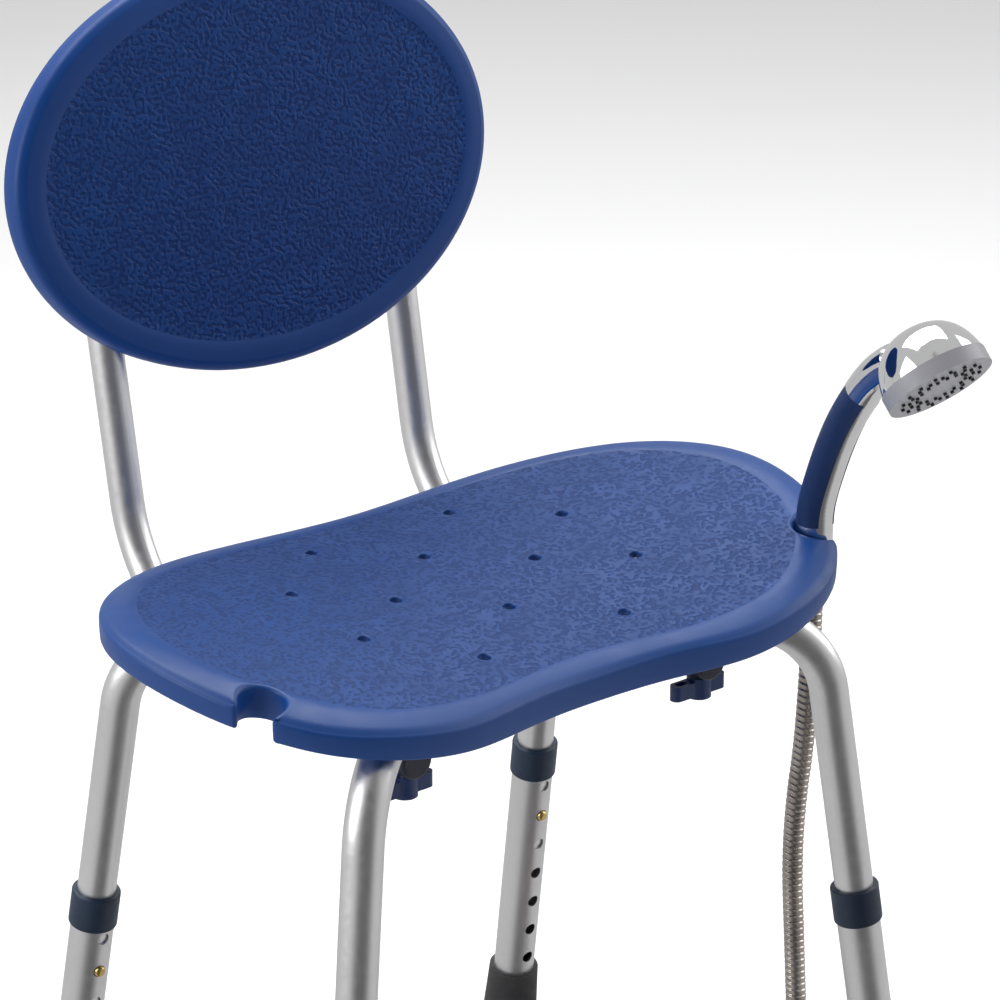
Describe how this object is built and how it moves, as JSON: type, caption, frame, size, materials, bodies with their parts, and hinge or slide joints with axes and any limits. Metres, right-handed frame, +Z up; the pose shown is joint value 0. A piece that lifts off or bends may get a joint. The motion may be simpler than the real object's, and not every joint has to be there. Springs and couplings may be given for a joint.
{
  "type": "shower chair",
  "caption": "Shower chair: kidney-shaped plastic seat with drain holes and shower notches, oval back panel, crossed aluminium tube frame with adjustable legs, docked hand shower.",
  "frame": {"origin": "on the floor, under the middle of the chair's overall footprint, hand shower included and hose left out", "axes": "+X to the side that holds the hand shower (the sitter's left), +Y to the backrest, +Z up"},
  "size_m": [0.5118, 0.4829, 0.8124],
  "materials": {
    "seat_plastic": "fine worm-track texture inside a smooth band",
    "back_plastic": "fine worm-track texture inside a smooth band",
    "frame_aluminium": "satin anodised",
    "leg_aluminium": "satin anodised",
    "collar_plastic": "moulded",
    "foot_rubber": "moulded, ribbed",
    "button_brass": "polished",
    "spring_steel": "bright",
    "cap_plastic": "moulded",
    "knob_plastic": "moulded",
    "zinc_steel": "zinc plated",
    "handset_chrome": "mirror",
    "grip_rubber": "grained",
    "spray_plastic": "satin",
    "nozzle_rubber": "soft",
    "hose_steel": "interlocked spiral"
  },
  "bodies": {
    "chair": {"backrest_hoop": "frame_aluminium", "backrest_panel": "back_plastic", "backrest_screw_washers": "zinc_steel", "backrest_screws": "zinc_steel", "button_spring_front_left": "spring_steel", "button_spring_front_right": "spring_steel", "button_spring_rear_left": "spring_steel", "button_spring_rear_right": "spring_steel", "clamp_inserts": "zinc_steel", "cross_bolt": "zinc_steel", "cross_nut": "zinc_steel", "cross_washer": "zinc_steel", "hose_coil": "hose_steel", "hose_run": "hose_steel", "hose_tail": "hose_steel", "hose_wall_nut": "handset_chrome", "leg_frame_a": "frame_aluminium", "leg_frame_b": "frame_aluminium", "rail_cap_left": "cap_plastic", "rail_cap_right": "cap_plastic", "rail_saddles": "cap_plastic", "seat_panel": "seat_plastic", "seat_screw_washers": "zinc_steel", "seat_screws": "zinc_steel", "tube_plugs": "cap_plastic"},
    "lower_leg_front_right": {"lower_tube_front_right": "leg_aluminium", "collar_front_right": "collar_plastic", "foot_front_right": "foot_rubber", "foot_washer_front_right": "zinc_steel"},
    "lower_leg_front_left": {"lower_tube_front_left": "leg_aluminium", "collar_front_left": "collar_plastic", "foot_front_left": "foot_rubber", "foot_washer_front_left": "zinc_steel"},
    "lower_leg_rear_right": {"lower_tube_rear_right": "leg_aluminium", "collar_rear_right": "collar_plastic", "foot_rear_right": "foot_rubber", "foot_washer_rear_right": "zinc_steel"},
    "lower_leg_rear_left": {"lower_tube_rear_left": "leg_aluminium", "collar_rear_left": "collar_plastic", "foot_rear_left": "foot_rubber", "foot_washer_rear_left": "zinc_steel"},
    "button_front_right": {"snap_button_front_right": "button_brass"},
    "button_front_left": {"snap_button_front_left": "button_brass"},
    "button_rear_right": {"snap_button_rear_right": "button_brass"},
    "button_rear_left": {"snap_button_rear_left": "button_brass"},
    "knob_front_right": {"clamp_knob_front_right": "knob_plastic", "clamp_stud_front_right": "zinc_steel"},
    "knob_front_left": {"clamp_knob_front_left": "knob_plastic", "clamp_stud_front_left": "zinc_steel"},
    "knob_rear_right": {"clamp_knob_rear_right": "knob_plastic", "clamp_stud_rear_right": "zinc_steel"},
    "knob_rear_left": {"clamp_knob_rear_left": "knob_plastic", "clamp_stud_rear_left": "zinc_steel"},
    "handset": {"handset_body": "handset_chrome", "handset_grips": "grip_rubber", "spray_ring": "spray_plastic", "spray_face": "spray_plastic", "spray_nozzles": "nozzle_rubber", "hose_nut": "handset_chrome"}
  },
  "joints": [
    {"name": "leg_length_front_right", "type": "slide", "parent": "chair", "child": "lower_leg_front_right", "axis": [0.1256, -0.0762, -0.9892], "range_m": [-0.125, 0.025]},
    {"name": "leg_length_front_left", "type": "slide", "parent": "chair", "child": "lower_leg_front_left", "axis": [-0.1256, -0.0762, -0.9892], "range_m": [-0.125, 0.025]},
    {"name": "leg_length_rear_right", "type": "slide", "parent": "chair", "child": "lower_leg_rear_right", "axis": [0.0482, 0.1789, -0.9827], "range_m": [-0.125, 0.025]},
    {"name": "leg_length_rear_left", "type": "slide", "parent": "chair", "child": "lower_leg_rear_left", "axis": [-0.0482, 0.1789, -0.9827], "range_m": [-0.125, 0.025]},
    {"name": "button_press_front_right", "type": "slide", "parent": "chair", "child": "button_front_right", "axis": [-0.0096, -0.9971, 0.0756], "range_m": [0, 0.0045], "stiffness_N_per_m": 500, "springref_m": -0.003, "deforming": ["button_spring_front_right"]},
    {"name": "button_press_front_left", "type": "slide", "parent": "chair", "child": "button_front_left", "axis": [0.0096, -0.9971, 0.0756], "range_m": [0, 0.0045], "stiffness_N_per_m": 500, "springref_m": -0.003, "deforming": ["button_spring_front_left"]},
    {"name": "button_press_rear_right", "type": "slide", "parent": "chair", "child": "button_rear_right", "axis": [-0.0088, 0.9839, 0.1786], "range_m": [0, 0.0045], "stiffness_N_per_m": 500, "springref_m": -0.003, "deforming": ["button_spring_rear_right"]},
    {"name": "button_press_rear_left", "type": "slide", "parent": "chair", "child": "button_rear_left", "axis": [0.0088, 0.9839, 0.1786], "range_m": [0, 0.0045], "stiffness_N_per_m": 500, "springref_m": -0.003, "deforming": ["button_spring_rear_left"]},
    {"name": "knob_turn_front_right", "type": "hinge", "parent": "chair", "child": "knob_front_right", "pos_m": [0.1185, -0.1115, 0.38], "axis": [0, 0, 1], "continuous": true},
    {"name": "knob_turn_front_left", "type": "hinge", "parent": "chair", "child": "knob_front_left", "pos_m": [-0.1185, -0.1115, 0.38], "axis": [0, 0, 1], "continuous": true},
    {"name": "knob_turn_rear_right", "type": "hinge", "parent": "chair", "child": "knob_rear_right", "pos_m": [0.1185, 0.05758, 0.38], "axis": [0, 0, 1], "continuous": true},
    {"name": "knob_turn_rear_left", "type": "hinge", "parent": "chair", "child": "knob_rear_left", "pos_m": [-0.1185, 0.05758, 0.38], "axis": [0, 0, 1], "continuous": true},
    {"name": "handset_lift", "type": "slide", "parent": "chair", "child": "handset", "axis": [0, 0, 1], "range_m": [0, 0.12]}
  ]
}
